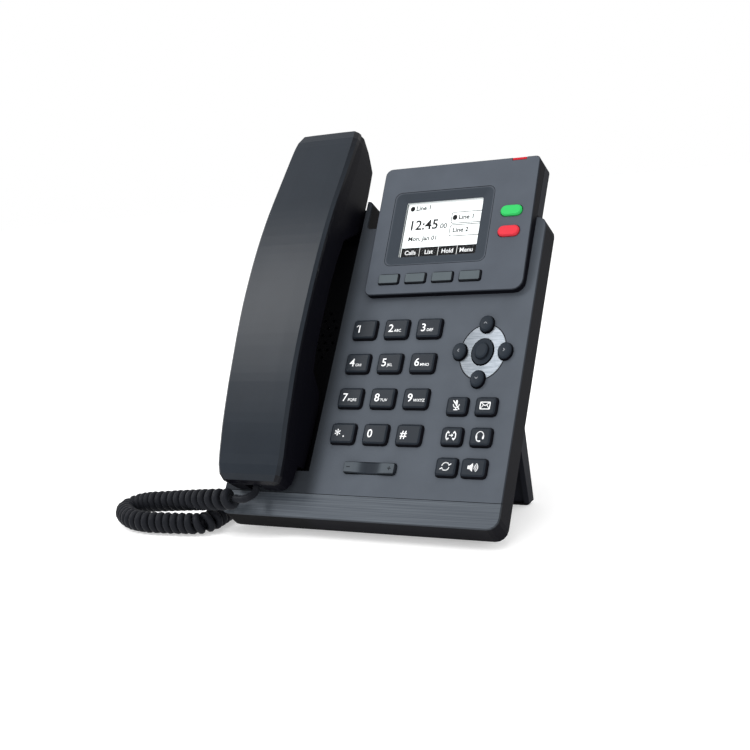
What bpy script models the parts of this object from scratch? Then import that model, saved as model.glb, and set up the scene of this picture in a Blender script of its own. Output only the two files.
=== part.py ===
"""Desk IP phone with a corded handset, standing on its rear stand.

World frame: +X to the right, the front of the phone faces -Y, +Z up, floor at z = 0.
The phone is drawn on its sloping face: u runs to the right, v up the slope, w out of the face.
The empty "face_frame" carries that frame, and "head_frame" carries the display head's own face.
"""
import bpy
import bmesh
from math import cos, sin, pi, radians, tan, hypot, atan2, sqrt
from mathutils import Vector

MM = 0.001                      # the drawing's unit, in metres

# ---- driving dimensions (mm, degrees) ----
TILT = 55.0                     # slope of the face above the floor
FACE_Y = -64.93                 # world y of the face's lower edge
FACE_Z = 12.5                   # height of the face's lower edge above the floor
HALF_W = 84.6                   # half the width of the body
FACE_L = 178.0                  # length of the face, from its lower to its upper edge
FRONT_LEAN = 2.2                # how far the front wall runs out below the face
SHELL_D = 14.0                  # depth of the top housing's side walls
STEP_IN = 9.2                   # the back cover is this much narrower on each side
STEP_W = 18.5                   # depth at which it has stepped in
BODY_D = 30.0                   # full depth of the body, to the back cover's outside
WALL = 2.0
EDGE = 0.5                      # bevel round the face
GAP = 0.3
HUMP_U = -28.0                  # right side of the raised earpiece end of the cradle
HUMP_V = 197.0
CRADLE_U = (-82.0, -31.5)       # the handset's recess
CRADLE_V = (26.5, 172.0)
CRADLE_W = -7.0                 # floor of the recess
EAR_V = (171.0, 215.0)          # deeper, open end of the recess, for the earpiece
EAR_W = -9.5
TRIM_V = 13.6                   # upper edge of the brushed strip
TRIM_T = 0.95

DIAL_U = (-14.2, 6.0, 26.2)
DIAL_V = (111.1, 90.3, 69.4, 48.5)
DIAL_NAMES = (("1", "2", "3"), ("4", "5", "6"), ("7", "8", "9"), ("star", "0", "hash"))
DIAL_SIZE = (15.4, 12.2)
FUNC_U = (51.3, 67.7)
FUNC_V = (65.3, 48.3, 31.4)
FUNC_NAMES = (("mute", "message"), ("transfer", "headset"), ("redial", "speaker"))
FUNC_SIZE = (12.4, 10.6)
SPEAKER_EXTRA = 2.0             # the speaker key is this much wider, on its left
KEY_TOP = 2.4                   # height of the caps above the face
KEY_DRAFT = 0.9
CLEAR = 0.35                    # side gap between a key and its hole
FLANGE = 0.9                    # how far a key's flange stands out under the face
FLANGE_T = 0.9
ROCKER = (6.2, 29.4, 31.5, 6.4)  # centre u, v, length, width
NAV = (60.1, 96.8)
NAV_R = (13.1, 16.0)            # the navigation plate is slightly taller than wide
NAV_KEY_R = (4.1, 5.0)
OK_R = (6.0, 7.5)
OK_WELL_R = (6.7, 8.2)

HEAD_U = (-18.0, 78.6)
HEAD_V = 131.3                  # lower edge of the display head
HEAD_W = 4.5                    # height of its lower edge above the face
HEAD_L = 81.2
HEAD_TILT = 2.65
HEAD_BACK = -8.5
GLASS = (22.9, 41.3, 47.8, 34.6)  # window: centre u, centre up the head, width, height
GLASS_DROP = 2.2
SOFT_U = (-3.1, 13.7, 30.4, 47.1)
SOFT_S = 9.2
SOFT_SIZE = (13.0, 6.2)
LINE_U = 66.0
LINE_S = (47.6, 35.1)
LINE_SIZE = (12.6, 6.4)

HANDSET_U = -58.0
SPEAKER_U = -61.5
PLUG_V = 15.2                   # where the cord enters the plug in the handset's end
MIC_V = 52.0                    # microphone and receiver, up the slope
RECEIVER_V = 203.0
STAND_HALF = 70.0
PORT_V = (34.0, 60.0)           # dual socket on the left side of the back cover
PORT_W = -23.2
PLUG_U = -88.0                  # outer end of the plug in it
PORT_U = -74.0                  # outer end of that socket

SCREW_U = 62.0
SCREW_V = 163.0

CORD_D = 4.0
COIL_OD = 12.5


# ---- small tools ----
def clear_scene():
    for obj in list(bpy.data.objects):
        bpy.data.objects.remove(obj, do_unlink=True)


def material(name, colour, roughness=0.5, metallic=0.0, alpha=1.0):
    mat = bpy.data.materials.get(name)
    if mat is None:
        mat = bpy.data.materials.new(name)
        mat.use_nodes = True
        shader = mat.node_tree.nodes["Principled BSDF"]
        shader.inputs["Base Color"].default_value = (*colour, 1.0)
        shader.inputs["Roughness"].default_value = roughness
        shader.inputs["Metallic"].default_value = metallic
        shader.inputs["Alpha"].default_value = alpha
    return mat


def world(u, v, w):
    """World position, in mm, of a point on the face's frame."""
    a = radians(TILT)
    return Vector((u, FACE_Y + v * cos(a) - w * sin(a), FACE_Z + v * sin(a) + w * cos(a)))


def add_object(name, mesh, mat, parent, location=(0, 0, 0), cutter=False):
    obj = bpy.data.objects.new(name, mesh)
    bpy.context.scene.collection.objects.link(obj)
    obj.parent = parent
    obj.location = [c * MM for c in location]
    if cutter:
        obj.hide_render = True
        obj.display_type = "WIRE"
    else:
        mesh.materials.append(mat)
    return obj


def ring_mesh(name, loops):
    """Closed bodies, each lofted through rings of equal point count; loops is a list of ring lists."""
    bm = bmesh.new()
    for rings in loops:
        rows = [[bm.verts.new([c * MM for c in p]) for p in ring] for ring in rings]
        count = len(rows[0])
        bm.faces.new(rows[0])
        bm.faces.new(list(reversed(rows[-1])))
        for low, high in zip(rows, rows[1:]):
            for i in range(count):
                j = (i + 1) % count
                bm.faces.new((low[j], low[i], high[i], high[j]))
    bmesh.ops.recalc_face_normals(bm, faces=bm.faces[:])
    mesh = bpy.data.meshes.new(name)
    bm.to_mesh(mesh)
    bm.free()
    return mesh


def fillet(corners, steps=4):
    """A closed outline from (x, y, radius) corners, each corner rounded by an arc."""
    points = []
    count = len(corners)
    for i, (x, y, radius) in enumerate(corners):
        here = Vector((x, y))
        before = (Vector(corners[i - 1][:2]) - here).normalized()
        after = (Vector(corners[(i + 1) % count][:2]) - here).normalized()
        if radius < 0.05:
            points.append((x, y))
            continue
        half = before.angle(after) / 2
        reach = radius / tan(half)
        centre = here + (before + after).normalized() * (radius / sin(half))
        start = here + before * reach - centre
        end = here + after * reach - centre
        sweep = start.angle_signed(end)
        for k in range(steps + 1):
            a = atan2(start.y, start.x) - sweep * k / steps
            points.append((centre.x + radius * cos(a), centre.y + radius * sin(a)))
    return points


def offset(corners, inset):
    """The same counter-clockwise corners moved inwards by inset, with matching radii."""
    moved = []
    count = len(corners)
    for i, (x, y, radius) in enumerate(corners):
        here = Vector((x, y))
        into = (here - Vector(corners[i - 1][:2])).normalized()
        out = (Vector(corners[(i + 1) % count][:2]) - here).normalized()
        n1 = Vector((-into.y, into.x))
        n2 = Vector((-out.y, out.x))
        shift = (n1 + n2) * (inset / (1 + n1.dot(n2)))
        turn = into.x * out.y - into.y * out.x
        r = radius - inset if turn > 0 else radius + inset
        moved.append((x + shift.x, y + shift.y, max(r, 0.3) if radius >= 0.05 else 0.0))
    return moved


def box_corners(cu, cv, width, height, radius):
    a = width / 2
    b = height / 2
    return [(cu - a, cv - b, radius), (cu + a, cv - b, radius),
            (cu + a, cv + b, radius), (cu - a, cv + b, radius)]


def level(outline, w):
    return [(x, y, w) for x, y in outline]


def ellipse(cu, cv, ru, rv, sides):
    return [(cu + ru * cos(2 * pi * k / sides), cv + rv * sin(2 * pi * k / sides)) for k in range(sides)]


def block(low, high):
    """Rings of a plain box between two corners."""
    outline = [(low[0], low[1]), (high[0], low[1]), (high[0], high[1]), (low[0], high[1])]
    return [level(outline, low[2]), level(outline, high[2])]


def prism_x(profile, x0, x1):
    """Rings of a profile in (v, w) stretched along u."""
    return [[(x0, v, w) for v, w in profile], [(x1, v, w) for v, w in profile]]


def boolean(obj, cutter, operation="DIFFERENCE"):
    mod = obj.modifiers.new(operation.lower(), "BOOLEAN")
    mod.operation = operation
    mod.object = cutter
    mod.solver = "EXACT"


def solid(name, loops, mat, parent, location=(0, 0, 0)):
    return add_object(name, ring_mesh(name, loops), mat, parent, location)


def cutter(name, loops, parent, location=(0, 0, 0)):
    return add_object(name, ring_mesh(name, loops), None, parent, location, cutter=True)


def cut(obj, name, loops, parent, location=(0, 0, 0), operation="DIFFERENCE"):
    boolean(obj, cutter(name, loops, parent, location), operation)


def smooth(obj, angle=35):
    obj.data.shade_smooth()
    obj.data.set_sharp_from_angle(angle=radians(angle))


PLASTIC = ("body_plastic", (0.085, 0.10, 0.115), 0.5)
DARK = ("dark_plastic", (0.022, 0.026, 0.031), 0.5)


# ---- body ----
def body_corners(front, top, hump, half):
    return [(-half, front, 6.0), (half, front, 6.5), (half, top, 6.0),
            (HUMP_U, top, 2.0), (HUMP_U, hump, 3.0), (-half, hump, 6.0)]


def front_at(w):
    """The front wall leans out with depth."""
    return FRONT_LEAN * w / SHELL_D


def top_shell_rings(inset, w_top, w_low, rim):
    rings = [level(fillet(offset(body_corners(front_at(w_low), FACE_L, HUMP_V, HALF_W), inset)), w_low)]
    if rim:
        rings.append(level(fillet(offset(body_corners(front_at(w_top - rim), FACE_L, HUMP_V, HALF_W),
                                         inset)), w_top - rim))
    rings.append(level(fillet(offset(body_corners(front_at(w_top), FACE_L, HUMP_V, HALF_W),
                                     inset + rim)), w_top))
    return rings


def key_hole_rings(cu, cv, size, radius):
    outline = fillet(box_corners(cu, cv, size[0] + 2 * CLEAR, size[1] + 2 * CLEAR, radius + CLEAR), 2)
    return [level(outline, -4.0), level(outline, 2.0)]


def dial_places():
    for row, v in enumerate(DIAL_V):
        for col, u in enumerate(DIAL_U):
            yield "key_" + DIAL_NAMES[row][col], u, v, DIAL_SIZE


def function_places():
    for row, v in enumerate(FUNC_V):
        for col, u in enumerate(FUNC_U):
            name = FUNC_NAMES[row][col]
            if name == "speaker":
                yield "key_" + name, u - SPEAKER_EXTRA / 2, v, (FUNC_SIZE[0] + SPEAKER_EXTRA, FUNC_SIZE[1])
            else:
                yield "key_" + name, u, v, FUNC_SIZE


def nav_places():
    for name, du, dv in (("up", 0, 1), ("left", -1, 0), ("right", 1, 0), ("down", 0, -1)):
        yield "key_" + name, NAV[0] + du * NAV_R[0], NAV[1] + dv * NAV_R[1]


def grille_holes():
    """Round holes on a hexagonal grid under the handset's middle."""
    holes = []
    pitch = 5.4
    for j in range(-4, 5):
        for i in range(-4, 5):
            u = HANDSET_U + (i + 0.5 * (j % 2)) * pitch
            v = 112.0 + j * pitch * 0.866
            if hypot(u - HANDSET_U, v - 112.0) < 19.5:
                outline = ellipse(u, v, 1.15, 1.15, 6)
                holes.append([level(outline, CRADLE_W - 3.5), level(outline, CRADLE_W + 1.0)])
    return holes


def build_top_housing(face):
    shell = solid("top_housing", [top_shell_rings(0, 0, -SHELL_D, EDGE)], material(*PLASTIC), face)
    inner = cutter("cut_top_inside", [top_shell_rings(WALL, -WALL, -SHELL_D - 1, 0)], face)
    cradle = [block((CRADLE_U[0], CRADLE_V[0], CRADLE_W), (CRADLE_U[1], CRADLE_V[1], 4.0))]
    ear = [block((CRADLE_U[0], EAR_V[0], EAR_W), (CRADLE_U[1], EAR_V[1], 4.5))]
    u0 = CRADLE_U[0] - 3
    u1 = CRADLE_U[1] + WALL
    keep_low = cutter("cut_cradle_keep", [block((u0, CRADLE_V[0] - WALL, CRADLE_W - WALL),
                                                (u1, CRADLE_V[1] + WALL, 3.0))], face)
    keep_ear = cutter("cut_ear_keep", [block((u0, EAR_V[0] - WALL, EAR_W - WALL),
                                             (u1, EAR_V[1], 3.0))], face)
    boolean(inner, keep_low)
    boolean(inner, keep_ear)
    boolean(shell, inner)
    cut(shell, "cut_cradle", cradle, face)
    cut(shell, "cut_ear", ear, face)
    cut(shell, "cut_grille", grille_holes(), face)
    hook = [block((HANDSET_U - 4.6, 181.4, EAR_W - 3), (HANDSET_U + 4.6, 188.6, EAR_W + 1))]
    cut(shell, "cut_hook", hook, face)
    holes = [key_hole_rings(u, v, size, 2.0) for _, u, v, size in dial_places()]
    holes += [key_hole_rings(u, v, size, 2.0) for _, u, v, size in function_places()]
    holes.append(key_hole_rings(ROCKER[0], ROCKER[1], ROCKER[2:], 1.5))
    for _, u, v in nav_places():
        outline = ellipse(u, v, NAV_KEY_R[0] + CLEAR, NAV_KEY_R[1] + CLEAR, 16)
        holes.append([level(outline, -4), level(outline, 2)])
    outline = ellipse(NAV[0], NAV[1], OK_WELL_R[0], OK_WELL_R[1], 20)
    holes.append([level(outline, -4), level(outline, 2)])
    cut(shell, "cut_keys", holes, face)
    outline = ellipse(NAV[0], NAV[1], NAV_R[0] + 0.25, NAV_R[1] + 0.25, 40)
    pocket = [[level(outline, -0.9), level(outline, 1.0)]]
    cut(shell, "cut_nav_pocket", pocket, face)
    strip = [block((-HALF_W - 5, -6, -TRIM_T - GAP), (HALF_W + 5, TRIM_V + GAP, 2.0))]
    cut(shell, "cut_trim", strip, face)
    for side in (-1, 1):
        name = "left" if side < 0 else "right"
        post = [level(ellipse(side * SCREW_U, SCREW_V, 3.4, 3.4, 12), -26.4),
                level(ellipse(side * SCREW_U, SCREW_V, 3.4, 3.4, 12), -1.2 if side > 0 else CRADLE_W - 1.2)]
        hole = [level(ellipse(side * SCREW_U, SCREW_V, 1.7, 1.7, 12), -27.0),
                level(ellipse(side * SCREW_U, SCREW_V, 1.7, 1.7, 12), -14.0)]
        cut(shell, "add_post_" + name, [post], face, operation="UNION")
        cut(shell, "cut_post_" + name, [hole], face)
    smooth(shell)


def build_trim(face):
    trim = solid("front_trim_strip", [top_shell_rings(0, 0, -3.0, EDGE)],
                 material("brushed_strip", (0.09, 0.105, 0.12), 0.38, 0.3), face)
    keep = cutter("keep_trim", [block((-HALF_W - 5, -6, -TRIM_T), (HALF_W + 5, TRIM_V, 2.0))], face)
    boolean(trim, keep, "INTERSECT")
    smooth(trim)


def floor_chamfer(w):
    """v of the back cover's front edge, cut parallel to the floor 2.4 mm above it."""
    a = radians(TILT)
    return (2.4 - FACE_Z - w * cos(a)) / sin(a)


def back_rings(inset, w_low, w_high):
    """The back cover: it steps in behind the top housing's walls, then runs nearly straight to the back."""
    rings = []
    for w, draft in ((w_low, STEP_IN + 1.0), (-STEP_W, STEP_IN), (w_high, 0.7)):
        front = max(floor_chamfer(w), front_at(-SHELL_D) + 0.3)
        end_draft = 0.4 * draft
        corners = body_corners(front, FACE_L - end_draft, HUMP_V - end_draft, HALF_W - draft)
        rings.append(level(fillet(offset(corners, inset)), w))
    return rings


def build_back_cover(face):
    cover = solid("bottom_housing", [back_rings(0, -BODY_D, -SHELL_D - GAP)], material(*DARK), face)
    inner = cutter("cut_back_inside", [back_rings(WALL, -BODY_D + WALL, -SHELL_D + 1)], face)
    keep_bay = cutter("cut_bay_keep", [block((-46, 94, -BODY_D - 1), (46, 124, -15.5))], face)
    boolean(inner, keep_bay)
    boolean(cover, inner)
    cut(cover, "cut_bay", [block((-44, 96, -BODY_D - 1), (44, 122, -17.5))], face)
    openings = [block((-28.3, 121, -28.4), (8.3, 125, -17.7)),
                block((17.7, 121, -27.3), (30.3, 125, -17.7)),
                block((-HALF_W - 2, PORT_V[0] - GAP, PORT_W - 4.8),
                      (PORT_U + 3.0, PORT_V[1] + GAP, PORT_W + 4.8))]
    cut(cover, "cut_ports", openings, face)
    screws = []
    for side in (-1, 1):
        screws.append([level(ellipse(side * SCREW_U, SCREW_V, 1.85, 1.85, 12), -31),
                       level(ellipse(side * SCREW_U, SCREW_V, 1.85, 1.85, 12), -26)])
        screws.append([level(ellipse(side * SCREW_U, SCREW_V, 3.1, 3.1, 12), -31),
                       level(ellipse(side * SCREW_U, SCREW_V, 3.1, 3.1, 12), -28.9)])
    for i, rings in enumerate(screws):
        name = "cut_screw_" + str(i)
        cut(cover, name, [rings], face)
    vents = []
    for k in range(9):
        u = -36.0 + 9.0 * k
        vents.append(block((u - 1.6, 134, -31), (u + 1.6, 150, -27)))
    cut(cover, "cut_vents", vents, face)
    smooth(cover)


def build_screws(face):
    for side in (-1, 1):
        name = "housing_screw_" + ("left" if side < 0 else "right")
        rings = [level(ellipse(0, 0, r, r, 12), w) for w, r in
                 ((-30.0, 2.3), (-29.7, 2.6), (-29.2, 2.6), (-29.199, 1.4), (-16.0, 1.4), (-15.2, 0.7))]
        screw = solid(name, [rings], material("screw_steel", (0.35, 0.35, 0.36), 0.35, 1.0), face,
                      (side * SCREW_U, SCREW_V, 0))
        smooth(screw)


def build_keys(face):
    for name, u, v, size in list(dial_places()) + list(function_places()):
        base = box_corners(0, 0, size[0], size[1], 2.0)
        wide = box_corners(0, 0, size[0] + 2 * FLANGE, size[1] + 2 * FLANGE, 2.0)
        rings = [level(fillet(wide, 2), -WALL - GAP - FLANGE_T), level(fillet(wide, 2), -WALL - GAP),
                 level(fillet(base, 2), -WALL - GAP + 0.001), level(fillet(base, 2), 0.5),
                 level(fillet(offset(base, KEY_DRAFT * 0.6), 2), KEY_TOP - 0.5),
                 level(fillet(offset(base, KEY_DRAFT + 0.5), 2), KEY_TOP)]
        key = solid(name, [rings], material("key_plastic", (0.055, 0.064, 0.073), 0.45), face,
                    (u, v, 0))
        smooth(key, 30)
    for name, u, v in nav_places():
        rings = [level(ellipse(0, 0, NAV_KEY_R[0] + 0.8, NAV_KEY_R[1] + 0.8, 16), -3.2),
                 level(ellipse(0, 0, NAV_KEY_R[0] + 0.8, NAV_KEY_R[1] + 0.8, 16), -2.3)]
        for k in range(5):
            a = k / 4
            shrink = sqrt(1 - 0.80 * a * a)
            w = -2.299 if k == 0 else 1.0 + 1.9 * sin(a * pi / 2)
            rings.append(level(ellipse(0, 0, NAV_KEY_R[0] * shrink, NAV_KEY_R[1] * shrink, 16), w))
        key = solid(name, [rings], material("key_plastic", (0.055, 0.064, 0.073), 0.45), face,
                    (u, v, 0))
        smooth(key, 40)
    rings = [level(ellipse(0, 0, OK_R[0] + 1.2, OK_R[1] + 1.2, 20), -3.2),
             level(ellipse(0, 0, OK_R[0] + 1.2, OK_R[1] + 1.2, 20), -2.3),
             level(ellipse(0, 0, OK_R[0], OK_R[1], 20), -2.299),
             level(ellipse(0, 0, OK_R[0], OK_R[1], 20), 0.8),
             level(ellipse(0, 0, OK_R[0] - 1.8, OK_R[1] - 2.4, 20), 1.3),
             level(ellipse(0, 0, OK_R[0] - 2.3, OK_R[1] - 3.0, 20), 2.6),
             level(ellipse(0, 0, OK_R[0] - 3.2, OK_R[1] - 4.0, 20), 3.0)]
    ok = solid("key_ok", [rings], material("key_plastic", (0.055, 0.064, 0.073), 0.45), face,
               (NAV[0], NAV[1], 0))
    smooth(ok, 40)
    length, width = ROCKER[2:]
    rings = []
    for x, top in ((-1.0, 1.2), (-0.96, 1.9), (-0.62, 2.0), (-0.5, 1.7), (-0.3, 0.9), (-0.1, 0.6),
                   (0.1, 0.6), (0.3, 0.9), (0.5, 1.7), (0.62, 2.0), (0.96, 1.9), (1.0, 1.2)):
        u = x * length / 2
        half = width / 2 - max(0.0, 30.0 * abs(x) - 28.6)
        rings.append([(u, -half + 0.4, -2.6), (u, half - 0.4, -2.6), (u, half, top - 0.5),
                      (u, half - 0.5, top), (u, -half + 0.5, top), (u, -half, top - 0.5)])
    rocker = solid("volume_rocker", [rings], material("key_plastic", (0.055, 0.064, 0.073), 0.45), face,
                   (ROCKER[0], ROCKER[1], 0))
    smooth(rocker, 30)


def build_nav_plate(face):
    outline = ellipse(0, 0, NAV_R[0], NAV_R[1], 40)
    plate = solid("navigation_plate",
                  [[level(outline, -0.6), level(outline, 0.05),
                    level(ellipse(0, 0, NAV_R[0] - 0.3, NAV_R[1] - 0.3, 40), 0.25)]],
                  material("satin_silver", (0.62, 0.63, 0.65), 0.3, 0.8), face, (NAV[0], NAV[1], 0))
    holes = []
    for _, u, v in nav_places():
        ring = ellipse(u - NAV[0], v - NAV[1], NAV_KEY_R[0] + CLEAR + 0.1, NAV_KEY_R[1] + CLEAR + 0.1, 16)
        holes.append([level(ring, -2), level(ring, 2)])
    ring = ellipse(0, 0, OK_WELL_R[0], OK_WELL_R[1], 20)
    holes.append([level(ring, -2), level(ring, 2)])
    cut(plate, "cut_nav_plate", holes, face, (NAV[0], NAV[1], 0))
    smooth(plate)


# ---- inside the body ----
def build_inside(face):
    slab = [block((-27.0, 20.0, -11.0), (80.0, 156.0, -9.4))]
    board = solid("main_board", slab, material("board_green", (0.02, 0.12, 0.05), 0.6), face)
    membrane = [block((-26.0, 21.0, -6.4), (79.0, 120.0, -5.2))]
    solid("keypad_membrane", membrane, material("membrane_rubber", (0.35, 0.36, 0.37), 0.8), face)
    radii = ((-23.0, 8.0), (-17.5, 8.0), (-17.499, 12.0), (-13.0, 16.0), (-10.0, 16.0))
    rings = [level(ellipse(0, 0, r, r, 24), w) for w, r in radii]
    speaker = solid("speaker", [rings], material("speaker_metal", (0.3, 0.3, 0.3), 0.4, 0.8), face,
                    (SPEAKER_U, 112.0, 0))
    smooth(speaker)
    rings = [level(fillet(box_corners(0, 0, 8.2, 6.2, 1.0), 2), w) for w in (-16.5, -9.4)]
    top = level(fillet(box_corners(0, 0, 6.4, 4.4, 1.0), 2), -8.5)
    lever = solid("hook_lever", [rings + [top]], material(*DARK), face, (HANDSET_U, 185.0, 0))
    smooth(lever)


def socket_block(name, low, high, mouths, mat, face):
    """A socket moulding with blind rectangular mouths."""
    body = solid(name, [block(low, high)], mat, face)
    cut(body, "cut_" + name, mouths, face)


def build_sockets(face):
    dark = material("socket_plastic", (0.03, 0.03, 0.03), 0.5)
    mouths = [block((c - 6.0, 120, -26.4), (c + 6.0, 136.0, -18.9)) for c in (-19.0, -1.0)]
    socket_block("network_jacks", (-28.0, 122.3, -27.7), (8.0, 139.0, -18.0), mouths, dark, face)
    mouths = [block((19.6, 120, -26.0), (28.4, 132.0, -19.0))]
    socket_block("power_jack", (18.0, 122.3, -27.0), (30.0, 135.0, -18.0), mouths, dark, face)
    v0, v1 = PORT_V
    mouths = [block((PORT_U - 3, c - 4.0, PORT_W - 3.4), (PORT_U + 10.5, c + 4.0, PORT_W + 3.4))
              for c in (v0 + 6.8, v1 - 6.8)]
    socket_block("audio_jacks", (PORT_U, v0, PORT_W - 4.5), (PORT_U + 14.0, v1, PORT_W + 4.5),
                 mouths, dark, face)


# ---- display head ----
def head_corners():
    u0, u1 = HEAD_U
    return [(u0, HEAD_V, 4.0), (u1, HEAD_V, 6.0), (u1, HEAD_V + HEAD_L, 3.0), (u0, HEAD_V + HEAD_L, 4.0)]


def head_surface(v):
    """Height of the head's front surface above the face."""
    return HEAD_W + (v - HEAD_V) * tan(radians(HEAD_TILT))


def tilted(outline, drop):
    return [(x, y, head_surface(y) - drop) for x, y in outline]


def build_head(face, head):
    corners = head_corners()
    rings = [level(fillet(corners), 0.35), tilted(fillet(corners), EDGE),
             tilted(fillet(offset(corners, EDGE)), 0)]
    bezel = solid("head_bezel", [rings], material(*PLASTIC), face)
    inside = offset(corners, WALL)
    hollow = [level(fillet(inside), -1.0), tilted(fillet(inside), 2.2)]
    cut(bezel, "cut_head_inside", [hollow], face)
    wide = fillet(box_corners(GLASS[0], GLASS[1] - 0.1, 62.6, 46.6, 4.0))
    narrow = fillet(box_corners(GLASS[0], GLASS[1], GLASS[2], GLASS[3], 0.8))
    window = [level(narrow, -6), level(narrow, -GLASS_DROP), level(wide, 0.001), level(wide, 2.0)]
    cut(bezel, "cut_window", [window], head)
    holes = []
    for u in SOFT_U:
        ring = fillet(box_corners(u, SOFT_S, SOFT_SIZE[0] + 2 * CLEAR, SOFT_SIZE[1] + 2 * CLEAR, 1.3), 2)
        holes.append([level(ring, -4), level(ring, 2)])
    for s in LINE_S:
        ring = fillet(box_corners(LINE_U, s, LINE_SIZE[0] + 2 * CLEAR, LINE_SIZE[1] + 2 * CLEAR, 3.2), 3)
        holes.append([level(ring, -4), level(ring, 2)])
    cut(bezel, "cut_head_keys", holes, head)
    slot = [block((61.8, HEAD_L - 1.9, -2.4), (70.6, HEAD_L + 1.0, 1.0))]
    cut(bezel, "cut_light", slot, head)
    smooth(bezel)

    rear = [(HEAD_U[0], FACE_L + 0.4, 1.0), (HEAD_U[1], FACE_L + 0.4, 1.0),
            (HEAD_U[1], HEAD_V + HEAD_L, 3.0), (HEAD_U[0], HEAD_V + HEAD_L, 4.0)]
    cover = solid("head_rear_cover",
                  [[level(fillet(offset(rear, 1.2)), HEAD_BACK), level(fillet(rear), HEAD_BACK + 1.2),
                    level(fillet(rear), 0.05)]],
                  material(*DARK), face)
    cut(cover, "cut_rear_inside",
        [[ level(fillet(offset(rear, WALL)), HEAD_BACK + WALL), level(fillet(offset(rear, WALL)), 1.0)]],
        face)
    smooth(cover)

    lens = fillet(box_corners(GLASS[0], GLASS[1], GLASS[2] + 4.0, GLASS[3] + 4.0, 1.0), 2)
    solid("display_lens", [[level(lens, -GLASS_DROP - GAP - 0.8), level(lens, -GLASS_DROP - GAP)]],
          material("clear_lens", (0.75, 0.78, 0.76), 0.08, 0.0, 0.4), head)
    module = fillet(box_corners(GLASS[0], GLASS[1], GLASS[2] + 7.0, GLASS[3] + 6.0, 0.5), 1)
    solid("display_module", [[level(module, -4.9), level(module, -3.6)]],
          material("display_panel", (0.6, 0.64, 0.62), 0.4), head)
    pipe = [block((62.1, HEAD_L - 1.6, -2.0), (70.3, HEAD_L - 0.3, -0.1))]
    solid("message_light", pipe, material("red_lens", (0.5, 0.03, 0.03), 0.2), head)

    for i, u in enumerate(SOFT_U):
        name = "soft_key_" + str(i + 1)
        base = box_corners(0, 0, SOFT_SIZE[0], SOFT_SIZE[1], 1.0)
        wide = box_corners(0, 0, SOFT_SIZE[0] + 1.4, SOFT_SIZE[1] + 1.4, 1.0)
        rings = [level(fillet(wide, 2), -3.2), level(fillet(wide, 2), -2.5), level(fillet(base, 2), -2.499),
                 level(fillet(base, 2), 0.6), level(fillet(offset(base, 0.6), 2), 1.3)]
        key = solid(name, [rings], material("key_plastic", (0.055, 0.064, 0.073), 0.45), head,
                    (u, SOFT_S, 0))
        smooth(key, 30)
    for name, s, colour in (("line_key_1", LINE_S[0], ("green_key", (0.05, 0.62, 0.25), 0.35)),
                            ("line_key_2", LINE_S[1], ("red_key", (0.75, 0.05, 0.06), 0.35))):
        base = box_corners(0, 0, LINE_SIZE[0], LINE_SIZE[1], 3.1)
        wide = box_corners(0, 0, LINE_SIZE[0] + 1.4, LINE_SIZE[1] + 1.4, 3.4)
        rings = [level(fillet(wide, 3), -3.4), level(fillet(wide, 3), -2.5), level(fillet(base, 3), -2.499),
                 level(fillet(base, 3), 0.7), level(fillet(offset(base, 0.7), 3), 1.4)]
        key = solid(name, [rings], material(*colour), head, (LINE_U, s, 0))
        smooth(key, 30)


# ---- stand and feet ----
def build_stand(face):
    rib = [(36.2, -70.9), (40.2, -76.5), (89.5, -33.4), (89.5, -30.3), (77.5, -30.3)]
    stand = solid("stand", [prism_x(rib, -STAND_HALF, STAND_HALF)], material(*DARK), face)
    pocket = [(35.8, -74.2), (87.0, -29.0), (70.0, -20.0), (20.0, -60.0)]
    cut(stand, "cut_stand", [ prism_x(pocket, -STAND_HALF + 3, STAND_HALF - 3)], face)
    rails = [block((s * 64.0 - 6.0, 80.0, -32.8), (s * 64.0 + 6.0, 148.0, -BODY_D - GAP)) for s in (-1, 1)]
    for i, rings in enumerate(rails):
        name = "add_rail_" + str(i)
        cut(stand, name, [rings], face, operation="UNION")
    smooth(stand)


def rubber_bar(name, x_half, y0, y1, z1, radius):
    outline = fillet(box_corners(0, (y0 + y1) / 2, 2 * x_half, y1 - y0, radius), 3)
    rings = [level(fillet(box_corners(0, (y0 + y1) / 2, 2 * x_half - 0.8, y1 - y0 - 0.8, radius), 3), 0),
             level(outline, 0.5), level(outline, z1)]
    bar = solid(name, [rings], material("foot_rubber", (0.02, 0.02, 0.02), 0.85), None)
    smooth(bar)


# ---- handset ----
# stations along v: outer surface, split line, underside, half width
HANDSET = ((13.4, 13.6, 12.2, 3.2, 15.0), (14.6, 16.2, 13.2, 2.2, 18.4), (17.5, 18.8, 15.0, 1.8, 20.4),
           (22.5, 20.4, 16.8, 1.6, 21.3), (28.2, 21.5, 18.0, 1.2, 21.7), (28.6, 21.6, 18.1, -5.3, 21.7),
           (45.0, 24.9, 21.5, -5.6, 22.0), (68.0, 28.3, 25.0, -5.4, 22.2), (73.0, 28.9, 25.6, -3.0, 22.2),
           (82.0, 29.8, 26.5, 7.6, 22.3), (96.0, 31.0, 27.7, 10.2, 22.6), (115.0, 31.9, 28.7, 11.4, 23.0),
           (135.0, 32.0, 28.8, 11.4, 23.1), (152.0, 31.4, 28.2, 10.2, 23.1), (166.0, 30.3, 27.1, 7.6, 23.0),
           (176.0, 29.2, 25.9, -4.0, 22.9), (181.0, 28.5, 25.1, -8.0, 22.8), (203.0, 25.0, 21.2, -8.2, 22.6),
           (221.0, 22.2, 17.9, -7.6, 22.2), (230.0, 20.4, 15.4, 0.6, 21.6), (236.0, 18.0, 13.2, 8.0, 20.0),
           (238.6, 14.4, 12.0, 10.6, 16.5))


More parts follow.
